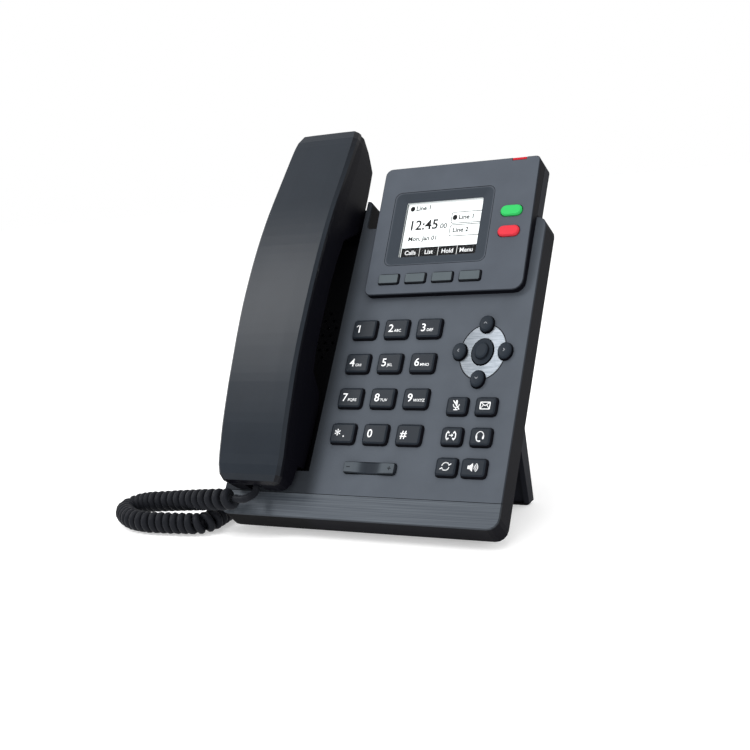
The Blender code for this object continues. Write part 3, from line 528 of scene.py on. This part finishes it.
# ---- flat markings ----
MARK_HALF = 0.03                # half a printed mark's thickness


def link_mesh(bm, name, mat, body):
    bmesh.ops.recalc_face_normals(bm, faces=bm.faces[:])
    mesh = bpy.data.meshes.new(name)
    bm.to_mesh(mesh)
    bm.free()
    mesh.materials.append(mat)
    obj = bpy.data.objects.new(name, mesh)
    bpy.context.scene.collection.objects.link(obj)
    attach(obj, body)


def add_prism(bm, outline, low, high, place):
    """A thin prism from a flat outline, placed by a matrix."""
    bottom = [bm.verts.new(place @ Vector((x, y, low))) for x, y in outline]
    top = [bm.verts.new(place @ Vector((x, y, high))) for x, y in outline]
    bm.faces.new(list(reversed(bottom)))
    bm.faces.new(top)
    for i in range(len(outline)):
        j = (i + 1) % len(outline)
        bm.faces.new((bottom[i], bottom[j], top[j], top[i]))


def stroke(points, width, closed=False):
    """Outlines that make up a line of even width, with round joints."""
    outlines = []
    pts = [Vector(p) for p in points]
    if closed:
        pts.append(pts[0])
    for a, b in zip(pts, pts[1:]):
        d = (b - a).normalized() * width / 2
        n = Vector((-d.y, d.x))
        outlines.append([tuple(a - n), tuple(b - n), tuple(b + n), tuple(a + n)])
    for p in pts:
        outlines.append([(p.x + width / 2 * cos(pi * k / 4), p.y + width / 2 * sin(pi * k / 4))
                         for k in range(8)])
    return outlines


def arc(cx, cy, rx, ry, start, end, steps=12):
    return [(cx + rx * cos(radians(start + (end - start) * k / steps)),
             cy + ry * sin(radians(start + (end - start) * k / steps))) for k in range(steps + 1)]


def text_into(bm, body_text, size, x, y, low, place, align="LEFT", thicken=0.0):
    """Adds a line of text to bm, its baseline's start at x, y."""
    data = bpy.data.curves.new("line_of_text", "FONT")
    data.body = body_text
    data.size = size
    data.align_x = align
    data.offset = thicken
    data.extrude = MARK_HALF
    data.resolution_u = 3
    obj = bpy.data.objects.new("line_of_text", data)
    bpy.context.scene.collection.objects.link(obj)
    bpy.context.view_layer.update()
    mesh = bpy.data.meshes.new_from_object(obj.evaluated_get(bpy.context.evaluated_depsgraph_get()))
    mesh.transform(place @ Matrix.Translation((x, y, low)))
    bm.from_mesh(mesh)
    bpy.data.meshes.remove(mesh)
    bpy.data.objects.remove(obj, do_unlink=True)
    bpy.data.curves.remove(data)


# places on the face, as in the CAD source
KEY_TOP = 2.4
NAV = (60.1, 96.8)              # middle of the navigation plate
NAV_KEY_TOP = 2.9
NAV_OUT_U = 13.1                # from there to the middles of the round keys
NAV_OUT_V = 16.0
DIAL_U = (-14.2, 6.0, 26.2)
DIAL_V = (111.1, 90.3, 69.4, 48.5)
FUNC_U = (51.3, 67.7)
FUNC_V = (65.3, 48.3, 31.4)
ROCKER = (6.2, 29.4)
ROCKER_TOP = 1.97
LETTERS = {"2": "ABC", "3": "DEF", "4": "GHI", "5": "JKL", "6": "MNO", "7": "PQRS", "8": "TUV", "9": "WXYZ"}
SIGNS = {"star": "*", "hash": "#"}


def make_dial_legends():
    for i, name in enumerate(DIAL):
        place = FACE @ Matrix.Translation((DIAL_U[i % 3], DIAL_V[i // 3], KEY_TOP))
        bm = bmesh.new()
        sign = SIGNS.get(name, name)
        size = 6.6 if name != "star" else 8.5
        low = -2.2 if name != "star" else -4.0
        text_into(bm, sign, size, -4.6, low, 0.0, place, thicken=0.03)
        if name == "1":
            for outline in stroke([(-3.95, 2.1), (-4.8, 1.4)], 0.5):
                add_prism(bm, outline, -MARK_HALF, MARK_HALF, place)
        if name in LETTERS:
            text_into(bm, LETTERS[name], 2.3, -0.8, -2.2, 0.0, place, thicken=0.01)
        if name == "star":
            text_into(bm, ".", 5.0, 0.6, -2.2, 0.0, place, thicken=0.1)
        link_mesh(bm, "legend_key_" + name, WHITE, "key_" + name)


def icon_mute():
    lines = stroke([(0, 2.3), (0, 0.5)], 1.2)
    lines += stroke(arc(0, 0.4, 1.7, 1.7, 180, 360, 10), 0.45)
    lines += stroke([(0, -1.3), (0, -2.4)], 0.45)
    lines += stroke([(-1.1, -2.5), (1.1, -2.5)], 0.45)
    return lines + stroke([(-1.9, 2.6), (1.9, -2.2)], 0.5)


def icon_message():
    lines = stroke([(-2.7, -1.9), (2.7, -1.9), (2.7, 1.9), (-2.7, 1.9)], 0.42, closed=True)
    lines += stroke([(-2.5, 1.7), (0, -0.1), (2.5, 1.7)], 0.34)
    return lines + stroke([(-2.5, -1.7), (-0.9, 0.4)], 0.3) + stroke([(2.5, -1.7), (0.9, 0.4)], 0.3)


def icon_transfer():
    lines = []
    for side in (-1, 1):
        curve = ((1.9, 2.2), (2.6, 1.2), (2.7, 0.0), (2.6, -1.2), (1.9, -2.2))
        lines += stroke([(side * x, y) for x, y in curve], 0.55)
        lines += stroke([(side * 1.9, 2.2), (side * 1.35, 1.6)], 0.8)
        lines += stroke([(side * 1.9, -2.2), (side * 1.35, -1.6)], 0.8)
    lines += stroke([(-1.0, 0.2), (1.0, 0.2)], 0.4)
    return lines + stroke([(0.4, 0.9), (1.1, 0.2), (0.4, -0.5)], 0.4)


def icon_headset():
    lines = stroke(arc(0, 0.4, 2.0, 2.2, -25, 205, 16), 0.45)
    for side in (-1, 1):
        lines += stroke([(side * 1.95, 0.2), (side * 1.8, -1.1)], 0.9)
    lines += stroke([(-1.9, -1.2), (-1.4, -2.4), (-0.3, -2.7)], 0.45)
    return lines + stroke([(-0.4, -2.7), (0.2, -2.6)], 0.8)


def icon_redial():
    lines = stroke(arc(0, 0, 2.1, 2.1, 25, 165, 12), 0.5)
    lines += stroke(arc(0, 0, 2.1, 2.1, 205, 345, 12), 0.5)
    lines += stroke([(2.9, 1.5), (1.9, 0.7), (1.2, 1.9)], 0.45)
    return lines + stroke([(-2.9, -1.5), (-1.9, -0.7), (-1.2, -1.9)], 0.45)


def icon_speaker():
    lines = [[(-2.9, -0.9), (-1.7, -0.9), (-0.2, -2.3), (-0.2, 2.3), (-1.7, 0.9), (-2.9, 0.9)]]
    for radius in (1.1, 2.0, 2.9):
        lines += stroke(arc(-0.2, 0, radius, radius * 0.95, -48, 48, 8), 0.4)
    return lines


ICONS = (icon_mute, icon_message, icon_transfer, icon_headset, icon_redial, icon_speaker)


def draw(name, outlines, place, mat, body):
    bm = bmesh.new()
    for outline in outlines:
        add_prism(bm, outline, -MARK_HALF, MARK_HALF, place)
    link_mesh(bm, name, mat, body)


def make_function_icons():
    for i, name in enumerate(FUNCTIONS):
        shift = -1.0 if name == "speaker" else 0.0
        place = FACE @ Matrix.Translation((FUNC_U[i % 2] + shift, FUNC_V[i // 2], KEY_TOP))
        draw("icon_key_" + name, ICONS[i](), place, WHITE, "key_" + name)


def make_arrows():
    """Small chevrons on the tops of the four round navigation keys."""
    spots = (("up", 0.0, NAV_OUT_V, 0), ("left", -NAV_OUT_U, 0.0, 90), ("down", 0.0, -NAV_OUT_V, 180),
             ("right", NAV_OUT_U, 0.0, 270))
    for name, du, dv, turn in spots:
        place = (FACE @ Matrix.Translation((NAV[0] + du, NAV[1] + dv, NAV_KEY_TOP))
                 @ Matrix.Rotation(radians(turn), 4, "Z"))
        draw("arrow_key_" + name, stroke([(-0.8, -0.35), (0.0, 0.45), (0.8, -0.35)], 0.3), place,
             PALE_GREY, "key_" + name)


def make_plate_outline():
    """The dark joint round the navigation plate, between the round keys."""
    outlines = []
    for quarter in range(4):
        centre = 45 + 90 * quarter
        outlines += stroke(arc(0, 0, 13.25, 16.15, centre - 24, centre + 24, 16), 0.45)
    place = FACE @ Matrix.Translation((NAV[0], NAV[1], 0.06))
    draw("navigation_plate_joint", outlines, place, BLACK_LINE, "base")


def make_rocker_marks():
    """A minus and a plus near the rocker's ends."""
    place = FACE @ Matrix.Translation((*ROCKER, ROCKER_TOP))
    marks = stroke([(-13.4, 0), (-11.6, 0)], 0.45)
    marks += stroke([(11.5, 0), (13.3, 0)], 0.45) + stroke([(12.4, -0.9), (12.4, 0.9)], 0.45)
    draw("marks_volume_rocker", marks, place, GREY_LEGEND, "volume_rocker")


# ---- display ----
GLASS_U = 22.9
GLASS_S = 41.3
GLASS_W = 47.8
GLASS_H = 34.6
MODULE_TOP = -3.6
BAR_H = 6.3                     # the dark bar of soft key words
FIELD = (0.02, 0.08)            # bottom and top of each printed layer, above the module
PRINT = (0.08, 0.12)
BAR_PRINT = (0.12, 0.16)
LINE_OUTER = (62.9, 46.9, 4.1)  # width, height and corner radius of the line round the surround
LINE_INNER = (62.3, 46.3, 3.8)
LINE_TOP = 0.03
LINE_BOTTOM = -0.3


def make_display():
    """The lit field behind the window, the marks on it, and the words on its bar."""
    place = HEAD @ Matrix.Translation((GLASS_U, GLASS_S, MODULE_TOP))
    half_w = GLASS_W / 2
    half_h = GLASS_H / 2
    bar_top = -half_h + BAR_H
    bm = bmesh.new()
    add_prism(bm, [(-half_w - 1, -half_h - 1), (half_w + 1, -half_h - 1), (half_w + 1, half_h + 1),
                   (-half_w - 1, half_h + 1)], *FIELD, place)
    link_mesh(bm, "display_field", PANEL, "base")
    bm = bmesh.new()
    add_prism(bm, [(-half_w + 0.6, -half_h + 0.5), (half_w - 0.6, -half_h + 0.5), (half_w - 0.6, bar_top),
                   (-half_w + 0.6, bar_top)], *PRINT, place)
    for x in (-half_w - 0.4, half_w - 0.1):
        add_prism(bm, [(x, -half_h), (x + 0.5, -half_h), (x + 0.5, half_h), (x, half_h)], *PRINT, place)
    # a round mark beside two of the line names
    for cx, cy in ((-half_w + 3.2, half_h - 3.2), (7.3, 6.7)):
        add_prism(bm, [(cx + 1.5 * cos(pi * k / 6), cy + 1.7 * sin(pi * k / 6)) for k in range(12)],
                  *PRINT, place)
    # words, size, baseline start and how much bolder than the font
    for words, size, x, y, thicken in (("Line 1", 4.0, -half_w + 5.4, half_h - 4.4, 0.10),
                                       ("12:45", 8.6, -half_w + 2.4, 0.4, 0.14),
                                       ("00", 4.4, -half_w + 22.6, 0.4, 0.07),
                                       ("Mon, Jan 01", 3.9, -half_w + 3.4, -6.6, 0.08),
                                       ("Line 1", 4.0, 9.6, 5.4, 0.10),
                                       ("Line 2", 4.0, 7.0, -2.6, 0.10)):
        text_into(bm, words, size, x, y, 0.1, place, thicken=thicken)
    for low in (3.0, -5.0):
        frame_line = stroke([(half_w, low + 7.0), (6.2, low + 7.0), (5.2, low + 6.2), (5.2, low + 0.8),
                             (6.2, low), (half_w, low)], 0.42)
        for outline in frame_line:
            add_prism(bm, outline, *PRINT, place)
    link_mesh(bm, "display_marks", INK, "base")
    bm = bmesh.new()
    step = (GLASS_W - 1.2) / 4
    for i, word in enumerate(("Calls", "List", "Hold", "Menu")):
        centre = -half_w + 0.6 + step * (i + 0.5)
        text_into(bm, word, 3.7, centre, -half_h + 2.0, 0.14, place, align="CENTER", thicken=0.05)
        if i:
            edge = centre - step / 2
            for outline in stroke([(edge, -half_h + 0.7), (edge, bar_top - 0.2)], 0.25):
                add_prism(bm, outline, *BAR_PRINT, place)
    link_mesh(bm, "display_soft_labels", WHITE, "base")


def rounded(cx, cy, width, height, radius):
    """A rectangle's outline with round corners."""
    out = []
    for qx, qy, start in ((1, 1, 0), (-1, 1, 90), (-1, -1, 180), (1, -1, 270)):
        out += arc(cx + qx * (width / 2 - radius), cy + qy * (height / 2 - radius), radius, radius,
                   start, start + 90, 6)
    return out


def make_bevel_line():
    """The fine dark line round the display's sloping surround."""
    bm = bmesh.new()
    rings = []
    for (width, height, radius), level in ((LINE_OUTER, LINE_TOP), (LINE_INNER, 0.0),
                                           (LINE_INNER, LINE_BOTTOM), (LINE_OUTER, LINE_BOTTOM)):
        outline = rounded(GLASS_U, GLASS_S - 0.1, width, height, radius)
        rings.append([bm.verts.new(HEAD @ Vector((x, y, level))) for x, y in outline])
    for ring, following in zip(rings, rings[1:] + rings[:1]):
        for i in range(len(ring)):
            j = (i + 1) % len(ring)
            bm.faces.new((ring[i], ring[j], following[j], following[i]))
    link_mesh(bm, "display_surround_line", BLACK_LINE, "base")


make_dial_legends()
make_function_icons()
make_arrows()
make_plate_outline()
make_rocker_marks()
make_display()
make_bevel_line()


# ---- floor and light ----
FLOOR_HALF = 6.0                # metres


def make_stage():
    size = FLOOR_HALF
    mesh = bpy.data.meshes.new("floor")
    corners = [(-size, -size, 0), (size, -size, 0), (size, size, 0), (-size, size, 0)]
    mesh.from_pydata(corners, [], [(0, 1, 2, 3)])
    floor = bpy.data.objects.new("floor", mesh)
    bpy.context.scene.collection.objects.link(floor)
    pale = grained("pale_floor", (0.68, 0.68, 0.68), 0.9, grain=0.0, spread=0.005)
    glow(pale, (1.0, 1.0, 1.0), 0.42)
    mesh.materials.append(pale)


def area_light(name, place, aim, size, power):
    """A rectangular lamp; places and sizes in metres, power in watts."""
    data = bpy.data.lights.new(name, "AREA")
    data.shape = "RECTANGLE"
    data.size, data.size_y = size
    data.energy = power
    light = bpy.data.objects.new(name, data)
    bpy.context.scene.collection.objects.link(light)
    light.location = place
    light.rotation_euler = (Vector(aim) - Vector(place)).to_track_quat("-Z", "Y").to_euler()


def make_light():
    scene_world = bpy.data.worlds.new("studio")
    scene_world.use_nodes = True
    scene_world.node_tree.nodes["Background"].inputs["Color"].default_value = (1.0, 1.0, 1.0, 1.0)
    scene_world.node_tree.nodes["Background"].inputs["Strength"].default_value = 1.0
    bpy.context.scene.world = scene_world
    bpy.context.scene.view_settings.view_transform = "Standard"
    middle = (0.0, 0.0, 0.1)
    area_light("key", (-0.72, -0.55, 1.0), middle, (0.4, 0.5), 9.0)
    area_light("top", (0.1, -0.1, 1.4), middle, (0.9, 0.7), 6.0)
    area_light("fill", (1.1, -0.7, 0.5), middle, (0.6, 0.9), 2.0)


make_stage()
make_light()
